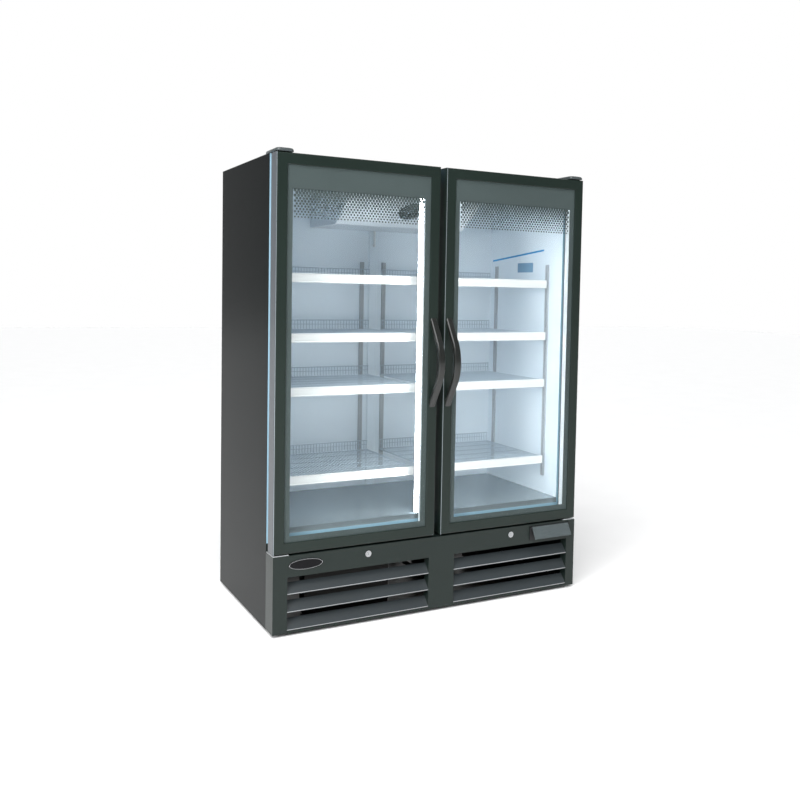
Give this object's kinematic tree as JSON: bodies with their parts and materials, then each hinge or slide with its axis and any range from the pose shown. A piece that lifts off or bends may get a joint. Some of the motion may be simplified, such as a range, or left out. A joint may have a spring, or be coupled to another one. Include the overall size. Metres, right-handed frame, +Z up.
{
  "type": "glass door merchandiser",
  "caption": "Upright refrigerated display cabinet with hinged glass doors, lit interior, wire shelves and a louvred base housing the condensing unit.",
  "frame": {"origin": "on the floor, under the centre of the overall box, which runs from the handles to the back panel", "axes": "+Z up, +X to the right of a person facing the doors, doors face -Y"},
  "size_m": [1.53, 0.878, 2],
  "materials": {
    "dark_painted_steel": "gloss",
    "white_coated_metal": "satin",
    "polyurethane_foam": "matte",
    "black_anodised_aluminium": "satin",
    "clear_glass": "clear, dark printed border",
    "spacer_bar": "matte",
    "grey_seal": "matte",
    "handle_plastic": "semi gloss",
    "white_coated_wire": "gloss",
    "zinc_steel": "zinc plated",
    "white_plastic": "satin",
    "light_lens": "frosted",
    "finned_aluminium": "finned",
    "black_plastic": "matte",
    "black_painted_metal": "satin",
    "hinge_steel": "satin",
    "lock_chrome": "polished",
    "button_plastic": "satin",
    "smoked_cover": "translucent",
    "badge_metal": "satin",
    "foot_rubber": "matte"
  },
  "bodies": {
    "cabinet": {"back_panel": "dark_painted_steel", "base_pan": "dark_painted_steel", "center_mullion": "white_plastic", "compressor": "black_painted_metal", "condenser_coil": "finned_aluminium", "controller_body": "black_plastic", "drain_tube": "white_plastic", "electrical_box": "black_plastic", "evaporator_coil": "finned_aluminium", "evaporator_housing": "white_coated_metal", "face_frame": "white_coated_metal", "fan_guards": "zinc_steel", "fan_motors": "black_painted_metal", "front_left_foot": "foot_rubber", "front_right_foot": "foot_rubber", "grille_panel": "dark_painted_steel", "grille_slats": "dark_painted_steel", "hinge_brackets": "hinge_steel", "hinge_covers": "black_plastic", "insulation_foam": "polyurethane_foam", "led_channels": "white_plastic", "led_lenses": "light_lens", "liner_panels": "white_coated_metal", "lock_barrels": "lock_chrome", "nameplate_badge": "badge_metal", "rear_channel_cover": "white_coated_metal", "rear_left_foot": "foot_rubber", "rear_machine_guard": "dark_painted_steel", "rear_right_foot": "foot_rubber", "shelf_clips": "zinc_steel", "shelf_pilasters": "zinc_steel", "side_panels": "dark_painted_steel", "top_panel": "dark_painted_steel"},
    "left_door": {"left_door_frame": "black_anodised_aluminium", "left_door_glass": "clear_glass", "left_glass_spacer": "spacer_bar", "left_door_gasket": "grey_seal", "left_door_handle": "handle_plastic"},
    "left_lock": {"left_lock_plug": "lock_chrome"},
    "right_door": {"right_door_frame": "black_anodised_aluminium", "right_door_glass": "clear_glass", "right_glass_spacer": "spacer_bar", "right_door_gasket": "grey_seal", "right_door_handle": "handle_plastic"},
    "right_lock": {"right_lock_plug": "lock_chrome"},
    "button_1": {"controller_button_1": "button_plastic"},
    "button_2": {"controller_button_2": "button_plastic"},
    "button_3": {"controller_button_3": "button_plastic"},
    "cover": {"controller_cover": "smoked_cover"},
    "condenser_rotor": {"condenser_fan": "black_plastic"},
    "evaporator_rotor": {"evaporator_fan": "black_plastic"},
    "left_shelf_1_body": {"left_shelf_1": "white_coated_wire"},
    "left_shelf_2_body": {"left_shelf_2": "white_coated_wire"},
    "left_shelf_3_body": {"left_shelf_3": "white_coated_wire"},
    "left_shelf_4_body": {"left_shelf_4": "white_coated_wire"},
    "right_shelf_1_body": {"right_shelf_1": "white_coated_wire"},
    "right_shelf_2_body": {"right_shelf_2": "white_coated_wire"},
    "right_shelf_3_body": {"right_shelf_3": "white_coated_wire"},
    "right_shelf_4_body": {"right_shelf_4": "white_coated_wire"}
  },
  "joints": [
    {"name": "left_door_hinge", "type": "hinge", "parent": "cabinet", "child": "left_door", "pos_m": [-0.751, -0.318, 1.16], "axis": [0, 0, -1], "range_deg": [0, 110], "stiffness_Nm_per_rad": 2, "springref_deg": -20.05},
    {"name": "left_lock_turn", "type": "hinge", "parent": "cabinet", "child": "left_lock", "pos_m": [-0.34, -0.351, 0.304], "axis": [0, -1, 0], "range_deg": [0, 90]},
    {"name": "right_door_hinge", "type": "hinge", "parent": "cabinet", "child": "right_door", "pos_m": [0.751, -0.318, 1.16], "axis": [0, 0, 1], "range_deg": [0, 110], "stiffness_Nm_per_rad": 2, "springref_deg": -20.05},
    {"name": "right_lock_turn", "type": "hinge", "parent": "cabinet", "child": "right_lock", "pos_m": [0.392, -0.351, 0.304], "axis": [0, -1, 0], "range_deg": [0, 90]},
    {"name": "button_1_press", "type": "slide", "parent": "cabinet", "child": "button_1", "axis": [0, 1, 0], "range_m": [0, 0.001], "stiffness_N_per_m": 800, "springref_m": -0.0005},
    {"name": "button_2_press", "type": "slide", "parent": "cabinet", "child": "button_2", "axis": [0, 1, 0], "range_m": [0, 0.001], "stiffness_N_per_m": 800, "springref_m": -0.0005},
    {"name": "button_3_press", "type": "slide", "parent": "cabinet", "child": "button_3", "axis": [0, 1, 0], "range_m": [0, 0.001], "stiffness_N_per_m": 800, "springref_m": -0.0005},
    {"name": "cover_flip", "type": "hinge", "parent": "cabinet", "child": "cover", "pos_m": [0.615, -0.358, 0.324], "axis": [-1, 0, 0], "range_deg": [-28, 62]},
    {"name": "evaporator_fan_spin", "type": "hinge", "parent": "cabinet", "child": "evaporator_rotor", "pos_m": [0, -0.0354, 1.80844], "axis": [0, 0.5483, 0.8363], "continuous": true},
    {"name": "condenser_fan_spin", "type": "hinge", "parent": "cabinet", "child": "condenser_rotor", "pos_m": [-0.38, -0.131, 0.19], "axis": [0, 1, 0], "continuous": true},
    {"name": "left_shelf_1_lift", "type": "slide", "parent": "cabinet", "child": "left_shelf_1_body", "axis": [0, 0, 1], "range_m": [0, 0.02]},
    {"name": "left_shelf_2_lift", "type": "slide", "parent": "cabinet", "child": "left_shelf_2_body", "axis": [0, 0, 1], "range_m": [0, 0.02]},
    {"name": "left_shelf_3_lift", "type": "slide", "parent": "cabinet", "child": "left_shelf_3_body", "axis": [0, 0, 1], "range_m": [0, 0.02]},
    {"name": "left_shelf_4_lift", "type": "slide", "parent": "cabinet", "child": "left_shelf_4_body", "axis": [0, 0, 1], "range_m": [0, 0.02]},
    {"name": "right_shelf_1_lift", "type": "slide", "parent": "cabinet", "child": "right_shelf_1_body", "axis": [0, 0, 1], "range_m": [0, 0.02]},
    {"name": "right_shelf_2_lift", "type": "slide", "parent": "cabinet", "child": "right_shelf_2_body", "axis": [0, 0, 1], "range_m": [0, 0.02]},
    {"name": "right_shelf_3_lift", "type": "slide", "parent": "cabinet", "child": "right_shelf_3_body", "axis": [0, 0, 1], "range_m": [0, 0.02]},
    {"name": "right_shelf_4_lift", "type": "slide", "parent": "cabinet", "child": "right_shelf_4_body", "axis": [0, 0, 1], "range_m": [0, 0.02]}
  ]
}
